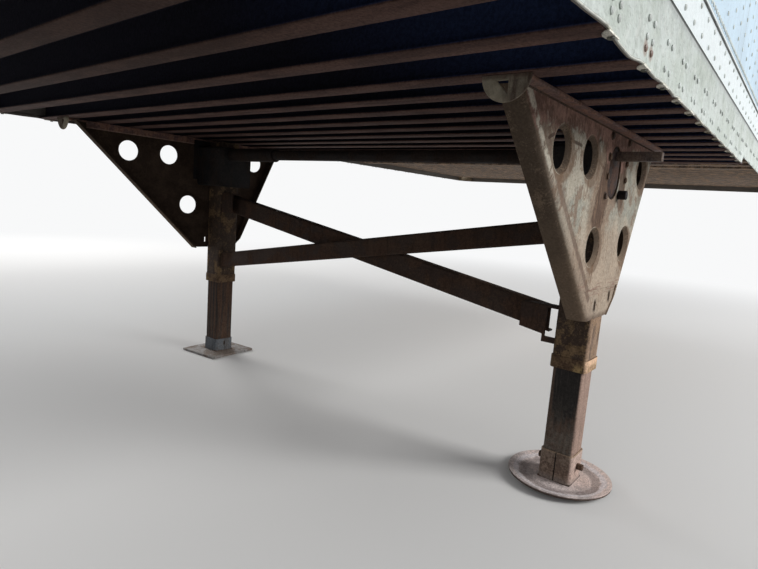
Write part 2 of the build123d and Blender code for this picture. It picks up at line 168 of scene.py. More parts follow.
# One material.
class Finish(Maker):
    def __init__(self, name):
        self.material = bpy.data.materials.new(name)
        self.material.use_nodes = True
        super().__init__(self.material.node_tree)
        self.shader = self.tree.nodes["Principled BSDF"]
        self.color = None
        self.place = self.node("ShaderNodeTexCoord", out="Object")
        self.x, self.y, self.z = self.parts(self.place)
        normal = self.node("ShaderNodeTexCoord", out="Normal")
        self.normalX, self.normalY, self.normalZ = self.parts(normal)
        self.outward = self.normalY * self.y.math("SIGN")  # away from the trailer's middle
        self.onLeft = self.y.fromTo(-0.1, 0.1)

    def stretched(self, scale):  # the place, scaled differently along X, Y and Z
        return self.node("ShaderNodeVectorMath", {"operation": "MULTIPLY"}, (self.place, scale))

    def noise(self, size, detail=4, rough=0.55, scale=(1, 1, 1)):
        return self.node(
            "ShaderNodeTexNoise",
            sockets={
                "Vector": self.stretched(scale), "Scale": 1 / size, "Detail": detail,
                "Roughness": rough,
            },
        )

    def mix(self, factor, one, two):
        return self.node(
            "ShaderNodeMix", {"data_type": "RGBA"}, {0: factor, 6: one, 7: two}, out=2
        )

    def over(self, mask, color):  # lays a colour over what is there, where the mask is 1
        self.color = self.mix(mask, self.color, color)

    def away(self, across, down, place):  # distance from a place on a plate
        return ((across - place[0]).squared() + (down - place[1]).squared()).math("SQRT")

    def lineAway(self, across, down, start, end):  # distance from a straight mark on a plate
        length = math.dist(start, end)
        run, drop = (end[0] - start[0]) / length, (end[1] - start[1]) / length
        fromX, fromZ = across - start[0], down - start[1]
        along = (fromX * run + fromZ * drop).larger(0).smaller(length)
        return ((fromX - along * run).squared() + (fromZ - along * drop).squared()).math("SQRT")

    # depth is the bump's, and grain is how much fine dirt makes the colour lighter and darker
    def done(self, roughness, height=None, depth=0.001, gloss=0.12, grain=0.6):
        self.shader.inputs["Specular IOR Level"].default_value = gloss
        shade = self.noise(0.0075, 6, 0.8).fromTo(0.36, 0.64) * grain + (1 - grain / 2)
        color = self.node(
            "ShaderNodeMix", {"data_type": "RGBA", "blend_type": "MULTIPLY"},
            {0: 1.0, 6: self.color, 7: shade}, out=2,
        )
        for key, value in (("Base Color", color), ("Roughness", roughness)):
            if isinstance(value, Value):
                self.tree.links.new(value.socket, self.shader.inputs[key])
            else:
                self.shader.inputs[key].default_value = rgba(value)
        if height is not None:
            bump = self.node("ShaderNodeBump", sockets={"Distance": depth, "Height": height})
            self.tree.links.new(bump.socket, self.shader.inputs["Normal"])
        return self.material


def rgba(color):
    return (*color, 1.0) if isinstance(color, tuple) and len(color) == 3 else color


steel = {
    "darkRust": (0.028, 0.017, 0.012),
    "dust": (0.250, 0.205, 0.165),
    "litEdge": (0.40, 0.27, 0.22),
    "edgeWidth": 0.006,
}


# outer is the colour of the side that looks away from the trailer's middle, a painted highlight,
# and edgeZ the height of a lower edge that gets a painted highlight along it.
def rustedSteel(
    name, base, rust, outer=None, amount=0.5, size=0.09, dusty=0.2, worn=0.5, along=(1, 1, 0.12),
    edgeZ=None,
):
    finish = Finish(name)
    broad, fine = finish.noise(size, 6, 0.62), finish.noise(0.006, 4, 0.7)
    rusty = (broad + fine * 0.35).fromTo(0.84 - amount * 0.4, 0.94 - amount * 0.4)
    finish.color = finish.mix(rusty, base, rust)
    finish.over(finish.noise(0.014, 5, 0.72).fromTo(0.56, 0.64) * worn, rust)
    if outer:
        # painted highlight: the side looking away from the trailer's middle is lighter, in patches
        patches = finish.noise(0.03, 6, 0.7, (1, 1, 0.3)).fromTo(0.36, 0.56) * 0.65 + 0.3
        finish.over(finish.outward.fromTo(0.3, 0.8) * patches, outer)
    streak = finish.noise(0.018, 5, 0.65, along).fromTo(0.5, 0.66)
    finish.over(streak * worn, steel["darkRust"])
    if edgeZ:
        # painted highlight along the lower edge at edgeZ
        lit = (finish.z - edgeZ).near(0, steel["edgeWidth"]) * (0.5 + fine * 0.5)
        finish.over(lit, steel["litEdge"])
    dust = finish.normalZ.fromTo(0.3, 0.9) * 0.6 + finish.noise(0.2, 5, 0.6).fromTo(0.45, 0.75)
    finish.over(dust.smaller(1) * dusty, steel["dust"])
    height = fine * 0.6 + finish.noise(0.02, 4, 0.6) * 0.8 + rusty * 0.3
    return finish.done(0.62 + rusty * 0.25, height, 0.0012)


beamLook = {
    "foot": (0.085, 0.050, 0.043),
    "footRust": (0.150, 0.088, 0.072),
    "rubbed": (0.18, 0.135, 0.12),
    # the webs above the feet are painted shade, near black, and bluish as painted sky light nearer
    # the right rail
    "web": (0.015, 0.014, 0.024),
    "webSide": (0.042, 0.066, 0.160),  # painted sky light: bluish nearer the right rail
    "webFade": (-1.30, -0.55),
    "shadedX": (-3.45, -2.95),  # painted shade: the rear beams are darker, but not at the right rail
    "shadedY": (-1.20, -0.50),
    "footEdge": (0.0015, 0.005),
}


def beamSteel():
    finish = Finish("beamSteel")
    patches, flakes = finish.noise(0.06, 6, 0.65, (1, 0.3, 1)), finish.noise(0.008, 4, 0.7)
    finish.color = finish.mix(patches.fromTo(0.4, 0.62), beamLook["foot"], beamLook["footRust"])
    finish.over(flakes.fromTo(0.55, 0.7) * 0.5, steel["darkRust"])
    rubbed = finish.noise(0.03, 4, 0.6, (1, 0.06, 1)).fromTo(0.6, 0.72)
    finish.over(rubbed * 0.4, beamLook["rubbed"])
    # painted shade: the rear beams are darkened with the dark rust colour, except near the right
    # rail
    shaded = (1 - finish.x.fromTo(*beamLook["shadedX"])) * finish.y.fromTo(*beamLook["shadedY"])
    finish.over(shaded * 0.55, steel["darkRust"])
    # painted shade on the webs above the feet, with painted bluish sky light nearer the right rail
    web = finish.mix(finish.y.fromTo(*beamLook["webFade"]), beamLook["webSide"], beamLook["web"])
    finish.over((finish.z - underZ).fromTo(*beamLook["footEdge"]), web)
    return finish.done(0.7 + flakes * 0.2, flakes + patches * 0.7, 0.0012)


deckLook = {
    "topZ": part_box("deck_boards")[1].z,
    "strip": 0.033,  # width of the strips that each board is glued from
    # the underside: dark wood, darkened further as painted shade and tinted blue as a painted sheen
    "below": (0.034, 0.046, 0.098),
    "belowWornSheen": (0.062, 0.064, 0.098),
    "pale": (0.30, 0.215, 0.14),
    "brown": (0.17, 0.11, 0.068),
    "traffic": (0.10, 0.085, 0.07),
    "joint": (0.02, 0.016, 0.014),
}


def deckWood():
    finish = Finish("deckWood")
    grain = finish.noise(0.012, 7, 0.7, (0.03, 1, 0.3))
    strip = (finish.y / deckLook["strip"]).math("FLOOR")
    shade = finish.node("ShaderNodeTexWhiteNoise", {"noise_dimensions": "1D"}, {"W": strip})
    tone = (grain * 0.7 + shade * 0.45).fromTo(0.3, 0.8)
    wood = finish.mix(tone, deckLook["brown"], deckLook["pale"])
    traffic = finish.noise(0.3, 5, 0.6).fromTo(0.45, 0.7)
    wood = finish.mix(traffic * 0.5, wood, deckLook["traffic"])
    # the underside: dark wood with painted shade and a painted bluish sheen, varied by the grain
    below = finish.mix(grain.fromTo(0.45, 0.7), deckLook["below"], deckLook["belowWornSheen"])
    top = (finish.z - deckLook["topZ"]).fromTo(-0.002, -0.0005)
    finish.color = finish.mix(top, below, wood)
    joint = (finish.y / deckLook["strip"] - strip).near(0, 0.05)
    finish.over(joint * 0.5, deckLook["joint"])
    return finish.done(0.75, grain - joint * 0.6, 0.0008)


railLook = {
    "paint": (0.730, 0.800, 0.755),
    "shade": (0.590, 0.660, 0.590),
    "grime": (0.27, 0.28, 0.24),
    "scuff": (0.36, 0.40, 0.36),
    "bare": (0.84, 0.88, 0.83),
    "speck": (0.16, 0.13, 0.10),
    "upper": (0.80, 0.87, 0.89),
    # painted shade for the faces that look down
    "below": (0.13, 0.13, 0.115),
    "line": (0.07, 0.07, 0.065),
    "rust": (0.30, 0.19, 0.13),
    "inside": (0.20, 0.185, 0.165),
    "seam": 0.145,  # heights above the lower edge
    "topSeams": (0.2365, 0.2455),
    "rustyRivets": ((-0.777, 0.027), (-0.739, 0.027)),  # from the legs, above the edge
    "sideSkin": (-0.0050, -0.0046),  # from the rails' outer faces
    "noseSkin": (-0.0060, -0.0045),
}


def railPaint():
    finish = Finish("railPaint")
    high, offset = finish.z - underZ, finish.x - legX
    cloudy = finish.noise(0.16, 6, 0.62)
    finish.color = finish.mix(cloudy.fromTo(0.4, 0.62), railLook["paint"], railLook["shade"])
    runs = finish.noise(0.05, 6, 0.7, (1, 1, 0.7)).fromTo(0.5, 0.66)
    low = 1 - high.fromTo(0.02, 0.24)
    finish.over(runs * (low * 0.2 + 0.1), railLook["grime"])
    scuffs = finish.noise(0.012, 5, 0.7, (0.5, 1, 1)).fromTo(0.5, 0.66)
    finish.over(scuffs * 0.42, railLook["scuff"])
    finish.over(finish.noise(0.025, 6, 0.75).fromTo(0.52, 0.60) * 0.45, railLook["bare"])
    finish.over(finish.noise(0.006, 2, 0.5).fromTo(0.66, 0.74) * 0.6, railLook["speck"])
    finish.over(high.fromTo(0.12, 0.16) * 0.85, railLook["upper"])
    # painted shade: the faces that look down are dark
    finish.over((-finish.normalZ).fromTo(0.5, 0.8), railLook["below"])
    lines = high.near(railLook["seam"], 0.0028)
    for seam in railLook["topSeams"]:
        lines = lines.larger(high.near(seam, 0.0022))
    finish.over(lines * 0.75, railLook["line"])
    for place in railLook["rustyRivets"]:
        stain = finish.away(offset, high, place) + (cloudy - 0.5) * 0.02
        finish.over((1 - stain.fromTo(0.008, 0.018)) * (1 - finish.onLeft) * 0.7, railLook["rust"])
    outside = (finish.y.absolute() - sideY).fromTo(*railLook["sideSkin"])
    outside = outside.larger((finish.x - noseX).fromTo(*railLook["noseSkin"]))
    finish.over(1 - outside, railLook["inside"])
    height = finish.noise(0.09, 3, 0.5) * 2.5 + cloudy * 0.6 + scuffs * 0.1 - lines * 0.4
    return finish.done(0.42 + runs * 0.25, height, 0.003, 0.4, 0.14)


rollLook = {"paint": (0.78, 0.80, 0.72), "worn": (0.50, 0.50, 0.43), "crease": (0.10, 0.10, 0.085)}


def rollPaint():  # the rolled edge along the rail's foot, with a painted shade line in the crease over it
    finish = Finish("rollPaint")
    worn = finish.noise(0.02, 5, 0.7, (0.4, 1, 1))
    finish.color = finish.mix(worn.fromTo(0.5, 0.62), rollLook["paint"], rollLook["worn"])
    # painted shade: the upper side of the roll, in the crease, is dark
    finish.over(finish.normalZ.fromTo(0.15, 0.5), rollLook["crease"])
    return finish.done(0.5, worn, 0.001, 0.4, 0.2)


rivetLook = {
    "paint": (0.66, 0.71, 0.68),
    "shade": (0.46, 0.49, 0.46),
    "rust": (0.16, 0.085, 0.055),
    "reach": 0.016,
}


def rivetPaint():
    finish = Finish("rivetPaint")
    tone = finish.noise(0.03, 3, 0.6)
    finish.color = finish.mix(tone.fromTo(0.4, 0.65), rivetLook["paint"], rivetLook["shade"])
    for offset, high in railLook["rustyRivets"]:
        along = (finish.x - legX).near(offset, rivetLook["reach"])
        rusty = along * (finish.z - underZ).near(high, rivetLook["reach"])
        finish.over(rusty * (1 - finish.onLeft) * 0.95, rivetLook["rust"])
    return finish.done(0.5, tone, 0.001, 0.4, 0.3)


wallLook = {
    # the white paint is tinted blue as painted sky light
    "paint": (0.535, 0.705, 0.835),
    "shade": (0.460, 0.610, 0.725),
    "run": (0.40, 0.42, 0.42),
    "speck": (0.20, 0.17, 0.14),
    "lap": (0.10, 0.10, 0.10),
    "panel": 1.22,  # width of one sheet of the wall
    "lining": (0.42, 0.34, 0.24),  # plywood on the inner side
    "liningDark": (0.30, 0.23, 0.15),
}


def wallPaint():
    finish = Finish("wallPaint")
    cloudy = finish.noise(0.3, 6, 0.6)
    finish.color = finish.mix(cloudy.fromTo(0.4, 0.65), wallLook["paint"], wallLook["shade"])
    runs = finish.noise(0.03, 5, 0.62, (1, 1, 0.06)).fromTo(0.5, 0.75)
    finish.over(runs * 0.35, wallLook["run"])
    finish.over(finish.noise(0.007, 2, 0.5).fromTo(0.66, 0.74) * 0.5, wallLook["speck"])
    lap = (finish.x / wallLook["panel"]).math("FRACT").near(0.5, 0.0025)
    finish.over(lap * 0.8, wallLook["lap"])
    inner = (-finish.outward).larger(-finish.normalX).fromTo(0.3, 0.6)
    grain = finish.noise(0.015, 6, 0.7, (0.05, 0.05, 1))
    ply = finish.mix(grain.fromTo(0.35, 0.65), wallLook["lining"], wallLook["liningDark"])
    finish.over(inner, ply)
    roughness = 0.38 + runs * 0.25 + inner * 0.3
    return finish.done(roughness, cloudy - lap * 0.5, 0.002, 0.4, 0.08)


# Places on the plate are offsets from the leg and depths below the crossmembers.
wingLook = {
    "cream": (0.455, 0.413, 0.335),
    "greyGreen": (0.330, 0.325, 0.275),
    "tan": (0.430, 0.325, 0.242),
    "strip": (0.190, 0.134, 0.098),
    "drip": (0.170, 0.100, 0.060),
    "blotch": (0.240, 0.172, 0.126),
    "brown": (0.080, 0.048, 0.034),
    "rusted": (0.19, 0.122, 0.083),
    "creased": (0.165, 0.112, 0.084),
    "stained": (0.26, 0.180, 0.125),
    "tear": (0.12, 0.075, 0.05),
    "halo": (0.20, 0.138, 0.095),
    # the rims get a painted highlight on the left, and rust with painted shade on the right
    "rimPale": (0.52, 0.475, 0.38),
    "rimRustShade": (0.215, 0.150, 0.104),
    "rimDark": (0.125, 0.080, 0.052),
    "scratch": (0.24, 0.13, 0.10),
    "band": (0.400, 0.240, 0.190),
    "bandDark": (0.170, 0.098, 0.076),
    # a painted highlight along the crest of the rear bend
    "crestGlint": (0.62, 0.57, 0.47),
    "slotShade": (0.035, 0.024, 0.018),
    "flange": (0.118, 0.088, 0.064),
    "flangeLow": (0.225, 0.165, 0.115),
    "scraped": (0.300, 0.220, 0.155),
    "inside": (0.060, 0.040, 0.029),
    "insideWorn": (0.085, 0.058, 0.042),
    "holes": ((-0.505, 0.108), (-0.296, 0.104), (0.241, 0.095), (-0.182, 0.350), (0.131, 0.341)),
    "rim": 0.062,
    "haloShift": (0.016, 0.010),
    "rearTop": -0.762,
    "rearSlope": 0.604 / 0.570,
    "rearCosine": 0.687,
    "top": 0.008,
    # the line of a crease, painted with shade
    "crease": ((-0.500, 0.193), (-0.139, 0.510)),
    "cracks": (
        ((-0.595, 0.093), (-0.568, 0.082)), ((-0.479, 0.079), (-0.377, 0.083)),
        ((-0.334, 0.025), (-0.328, 0.050)), ((-0.262, 0.066), (-0.226, 0.046)),
        ((-0.240, 0.102), (-0.195, 0.114)), ((-0.195, 0.114), (-0.148, 0.131)),
    ),
    "boltColumns": (-0.133, 0.048),
    "stain": ((-0.115, 0.10), (-0.175, 0.26)),
    "gearDirt": ((0.020, 0.020), (0.030, 0.205)),
    "pressedFoot": 0.478,
    "low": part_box("wing_plate_left")[0].z,
    "slots": ((-0.070, 0.042), (0.070, 0.062)),  # from the leg, above the plate's foot
}


def wingPaint():
    finish, look = Finish("wingPaint"), wingLook
    across, depth = finish.x - legX, underZ - finish.z
    cloudy, broad = finish.noise(0.12, 6, 0.6), finish.noise(0.05, 5, 0.65)
    fine, drips = finish.noise(0.005, 4, 0.7), finish.noise(0.012, 6, 0.75, (1, 1, 0.14))
    ragged = (broad - 0.5) * 0.6 + (finish.noise(0.015, 5, 0.75) - 0.5) * 0.6
    finish.color = finish.mix(cloudy.fromTo(0.44, 0.56), look["greyGreen"], look["cream"])
    # brown blotches, fewer further down
    blotch = (finish.noise(0.06, 7, 0.72, (1, 1, 0.7)) - depth * 0.26).fromTo(0.49, 0.515)
    finish.over(blotch * 0.85, look["blotch"])
    # the low part is stained tan, more so near the middle
    low = (depth + ragged * 0.12 - across.absolute() * 0.15).fromTo(0.20, 0.34)
    finish.over(low * (0.35 + drips * 0.7).smaller(0.85), look["tan"])
    runs = drips.fromTo(0.54, 0.66)
    finish.over(runs * (0.3 + low * 0.35), look["drip"])
    finish.over(finish.noise(0.012, 5, 0.75, (1, 1, 0.6)).fromTo(0.58, 0.64) * 0.8, look["drip"])
    # a tan strip follows the rear bend
    edge = across - look["rearTop"] - (depth - look["top"]) * look["rearSlope"]
    edge = edge * look["rearCosine"]
    strip = 1 - (edge + ragged * 0.05).fromTo(0.055, 0.085)
    strip = strip * (1 - depth.fromTo(0.15, 0.26) * 0.55)
    finish.over(strip * (0.5 + drips * 0.6).smaller(0.9), look["strip"])
    # painted shade: a dark stripe along a crease in the sheet
    crease = finish.lineAway(across, depth, *look["crease"]) + ragged * 0.014
    finish.over((1 - crease.fromTo(0.006, 0.014)) * 0.75, look["creased"])
    for start, end in look["cracks"]:
        mark = finish.lineAway(across, depth, start, end) + ragged * 0.006
        finish.over((1 - mark.fromTo(0.0025, 0.0065)) * 0.85, look["brown"])
    # brown stain round and below the gear opening
    stain = finish.lineAway(across, depth, *look["stain"]) + ragged * 0.06
    finish.over((1 - stain.fromTo(0.070, 0.115)) * 0.75, look["stained"])
    rusted = finish.mix(drips.fromTo(0.44, 0.64), look["brown"], look["rusted"])
    finish.over((1 - stain.fromTo(0.042, 0.064)) * 0.92, rusted)
    beside = finish.lineAway(across, depth, *look["gearDirt"]) + ragged * 0.04
    finish.over((1 - beside.fromTo(0.022, 0.040)) * 0.85, rusted)
    for column in look["boltColumns"]:
        tear = across.near(column, 0.024) * (1 - depth.fromTo(0.20, 0.26))
        finish.over(tear * drips.fromTo(0.36, 0.50) * 0.8, look["tear"])
    for ahead, down in look["holes"]:
        middle = (ahead + look["haloShift"][0], down + look["haloShift"][1])
        halo = finish.away(across, depth, middle) + ragged * 0.02
        finish.over((1 - halo.fromTo(0.064, 0.076)) * 0.8, look["halo"])
        rim = 1 - finish.away(across, depth, (ahead, down)).fromTo(look["rim"] - 0.002, look["rim"])
        # painted light on the rim: pale as a painted highlight on its left, rust brown with painted
        # shade on its right
        turned = (across - ahead + ragged * 0.03).fromTo(-0.03, 0.02)
        worn = finish.mix(fine.fromTo(0.42, 0.58), look["rimDark"], look["rimRustShade"])
        finish.over(rim, finish.mix(turned, look["rimPale"], worn))
        under = across.near(ahead + 0.006, 0.04) * (depth - down).near(0.08, 0.045)
        finish.over(under * drips.fromTo(0.42, 0.6) * 0.8, look["drip"])
    # thin reddish scratches above the pressed foot
    lines = finish.noise(0.007, 3, 0.6, (0.06, 0.06, 1)).fromTo(0.52, 0.62)
    finish.over(lines * depth.near(look["pressedFoot"], 0.03) * 0.6, look["scratch"])
    finish.over((depth + ragged * 0.04).fromTo(0.555, 0.575) * 0.6, look["brown"])
    # dirt under the angle, with a ragged lower edge
    gear = across.near(-0.05, 0.17) * 0.07
    dirt = depth + across * 0.035 + ragged * 0.16 - drips * 0.07 - gear
    streaks = (drips * 0.6 + broad * 0.6).fromTo(0.5, 0.68)
    band = finish.mix(streaks, look["band"], look["bandDark"])
    finish.over((1 - dirt.fromTo(-0.002, 0.020)) * 0.93, band)
    # a painted highlight along the crest of the rear bend, broken into ragged pieces
    crestHighlight = (edge + ragged * 0.016).near(0.026, 0.012) * (1 - depth.fromTo(0.13, 0.22))
    crestHighlight = crestHighlight * finish.noise(0.016, 5, 0.75, (1, 1, 0.6)).fromTo(0.42, 0.52)
    finish.over(crestHighlight, look["crestGlint"])
    # painted shade: dark patches round the slots
    for ahead, up in look["slots"]:
        slot = across.near(ahead, 0.016) * (finish.z - look["low"]).near(up, 0.026)
        finish.over(slot * 0.9, look["slotShade"])
    # the flanges and the inner side are dark
    upper = (cloudy * 0.5 - depth).fromTo(-0.32, 0.1)
    flange = finish.mix(upper, look["flangeLow"], look["flange"])
    scraped = (broad * 0.6 + fine * 0.5).fromTo(0.58, 0.66)
    flange = finish.mix(scraped * 0.6, flange, look["scraped"])
    sideways = 1 - (finish.outward + ragged * 0.12).fromTo(0.74, 0.90)
    behind = 1 - finish.y.absolute().fromTo(wingY - 0.002, wingY - 0.001)
    finish.over(sideways * behind, flange)
    inside = finish.mix(broad.fromTo(0.4, 0.6), look["inside"], look["insideWorn"])
    finish.over(1 - finish.outward.fromTo(-0.6, -0.3), inside)
    height = fine * 0.6 + cloudy * 0.5 + runs * 0.15 + broad * 0.6
    return finish.done(0.74 + broad * 0.2, height, 0.0014, grain=0.36)


tabLook = {
    "paint": (0.66, 0.60, 0.46),
    "shade": (0.42, 0.375, 0.28),
    "brown": (0.105, 0.070, 0.055),
    "top": (0.14, 0.095, 0.075),
}


def tabPaint():
    finish = Finish("tabPaint")
    cloudy, fine = finish.noise(0.03, 5, 0.65), finish.noise(0.005, 4, 0.7)
    finish.color = finish.mix(cloudy.fromTo(0.4, 0.6), tabLook["paint"], tabLook["shade"])
    drips = finish.noise(0.012, 5, 0.7, (1, 1, 0.15)).fromTo(0.4, 0.65)
    brown = (finish.y.absolute() + (cloudy - 0.5) * 0.04).fromTo(wingY - 0.040, wingY - 0.002)
    finish.over(brown * (0.6 + drips * 0.35), tabLook["brown"])
    top = (finish.z - underZ + (cloudy - 0.5) * 0.02).fromTo(-0.012, -0.004)
    finish.over(top * 0.7, tabLook["top"])
    return finish.done(0.65 + cloudy * 0.2, fine + cloudy, 0.001)


innerLegLook = {
    "brown": (0.105, 0.070, 0.052),
    "worn": (0.13, 0.095, 0.075),
    "black": (0.024, 0.022, 0.021),
    "dusty": (0.170, 0.150, 0.125),
    # a painted highlight for the sides that look away from the trailer's middle
    "outer": (0.370, 0.255, 0.205),
    "scratch": (0.20, 0.165, 0.14),
    "left": (0.090, 0.046, 0.028),  # the left leg is browner
    "leftDark": (0.026, 0.020, 0.018),
}


def innerLegSteel():
    finish, look = Finish("innerLegSteel"), innerLegLook
    wear = finish.noise(0.014, 5, 0.65, (1, 1, 0.06))
    cloudy, fine = finish.noise(0.05, 5, 0.65), finish.noise(0.004, 4, 0.7)
    finish.color = finish.mix(wear.fromTo(0.4, 0.65), look["brown"], look["worn"])
    middle = (finish.y.absolute() - legY).near(0.004, 0.060)
    high = (finish.z - groundZ + (cloudy - 0.5) * 0.2).fromTo(0.12, 0.34)
    greasy = (middle * high + (wear - 0.5) * 1.6).fromTo(0.15, 0.60)
    finish.over(greasy * 0.95, look["black"])
    pale = cloudy.fromTo(0.40, 0.60) * (1 - high) * (wear.fromTo(0.3, 0.6) * 0.6 + 0.4)
    finish.over(pale, look["dusty"])
    # painted highlight: the sides looking away from the trailer's middle are lighter, broken up by
    # wear
    finish.over(finish.outward.fromTo(0.3, 0.8) * wear.fromTo(0.30, 0.52), look["outer"])
    scratches = finish.noise(0.003, 3, 0.6, (1, 1, 0.02)).fromTo(0.58, 0.68)
    finish.over(scratches * 0.35, look["scratch"])
    rusty = finish.mix(wear.fromTo(0.4, 0.6), look["left"], look["leftDark"])
    finish.over(finish.onLeft * 0.8, rusty)
    height = fine * 0.5 + wear * 0.5 + scratches * 0.2
    return finish.done(0.55 + cloudy * 0.25, height, 0.0008)


socketLook = {
    "top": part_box("socket_right")[1].z,
    "base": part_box("socket_right")[0].z,
    "brown": (0.150, 0.105, 0.080),
    "pale": (0.235, 0.175, 0.135),
    # a painted highlight for the faces toward the trailer's right
    "outer": (0.54, 0.405, 0.345),
    "rim": (0.36, 0.26, 0.18),
    "dust": (0.30, 0.26, 0.235),
    "seam": (0.012, 0.009, 0.008),
}


def socketSteel():
    finish, look = Finish("socketSteel"), socketLook
    cloudy, fine = finish.noise(0.03, 5, 0.65), finish.noise(0.005, 4, 0.7)
    finish.color = finish.mix(cloudy.fromTo(0.42, 0.58), look["brown"], look["pale"])
    # painted highlight: the faces toward the trailer's right are lighter
    outer = (-finish.normalY).fromTo(0.3, 0.8)
    finish.over(outer * (0.6 + cloudy * 0.5).smaller(0.9), look["outer"])
    worn = (finish.z - look["top"] + (cloudy - 0.5) * 0.006).fromTo(-0.006, -0.002)
    finish.over(worn * 0.8, look["rim"])
    dusty = 1 - (finish.z - look["base"] + (cloudy - 0.5) * 0.03).fromTo(0.0, 0.03)
    finish.over(dusty * 0.6, look["dust"])
    seam = (finish.y + legY).near(0.0, 0.0026) * (-finish.normalX).fromTo(0.3, 0.7)
    finish.over(seam, look["seam"])
    return finish.done(0.75, fine * 0.6 + cloudy - seam * 2, 0.0012)


padLook = {
    "worn": (0.44, 0.375, 0.355),
    "pale": (0.66, 0.565, 0.535),
    # the two dust colours are real dust made brighter as painted light
    "dust": (0.86, 0.70, 0.62),
    "litDustDim": (0.62, 0.48, 0.43),
    # a painted shadow ring inside the raised rim
    "dish": (0.22, 0.175, 0.165),
    # a painted highlight on the raised rim
    "brim": (0.74, 0.69, 0.70),
    "grit": (0.80, 0.74, 0.68),
    # painted shade for the sides and underside
    "under": (0.12, 0.085, 0.07),
    "dishRadius": 0.120,
    "brimRadius": 0.146,
}


def padSteel():
    finish, look = Finish("padSteel"), padLook
    cloudy, fine = finish.noise(0.06, 6, 0.65), finish.noise(0.004, 4, 0.75)
    across, out = finish.x - legX, finish.y + legY
    finish.color = finish.mix(cloudy.fromTo(0.43, 0.57), look["worn"], look["pale"])
    # dust with painted light: the front-right is lighter, the rear-left lies in painted shadow of
    # the leg
    dustyAndLit = (across - out * 0.7 + (cloudy - 0.5) * 0.3).fromTo(-0.04, 0.10)
    dusty = finish.mix(fine.fromTo(0.4, 0.6), look["dust"], look["litDustDim"])
    finish.over(dustyAndLit * 0.85, dusty)
    ring = finish.away(across, out, (0, 0)) + (cloudy - 0.5) * 0.03
    # painted shadow: a dark ring where the dish meets the raised rim
    dish = ring.near(look["dishRadius"], 0.020)
    finish.over(dish * 0.55, look["dish"])
    # painted highlight along the raised rim
    finish.over(ring.near(look["brimRadius"], 0.012) * 0.6, look["brim"])
    grit = fine.fromTo(0.56, 0.64)
    finish.over(grit * 0.5, look["grit"])
    # painted shade: the sides and underside of the pad are dark
    finish.over(1 - finish.normalZ.fromTo(-0.2, 0.4), look["under"])
    return finish.done(0.85, fine * 0.3 + cloudy * 2 + grit * 0.1 - dish, 0.0015, grain=0.5)


collarLook = {
    "base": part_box("leg_collar_right")[0].z,
    "brown": (0.100, 0.062, 0.040),
    "rust": (0.165, 0.105, 0.062),
    # a painted highlight for the sides that look away from the trailer's middle
    "outer": (0.90, 0.60, 0.40),
    "scale": (0.42, 0.29, 0.135),
}


def collarSteel():
    finish, look = Finish("collarSteel"), collarLook
    cloudy, fine = finish.noise(0.03, 5, 0.65), finish.noise(0.006, 4, 0.75)
    finish.color = finish.mix(cloudy.fromTo(0.42, 0.58), look["brown"], look["rust"])
    # painted highlight: the sides looking away from the trailer's middle are light
    finish.over(finish.outward.fromTo(0.3, 0.8) * 0.85, look["outer"])
    corner = (finish.y.absolute() - legY + (cloudy - 0.5) * 0.1).fromTo(0.0, 0.04)
    low = 1 - (finish.z - look["base"] + (cloudy - 0.5) * 0.03).fromTo(0.012, 0.034)
    scale = (fine * 0.6 + cloudy * 0.8).fromTo(0.62, 0.74) * (0.05 + corner * low * 0.8)
    finish.over(scale, look["scale"])
    return finish.done(0.8, fine + cloudy + scale * 0.8, 0.002)


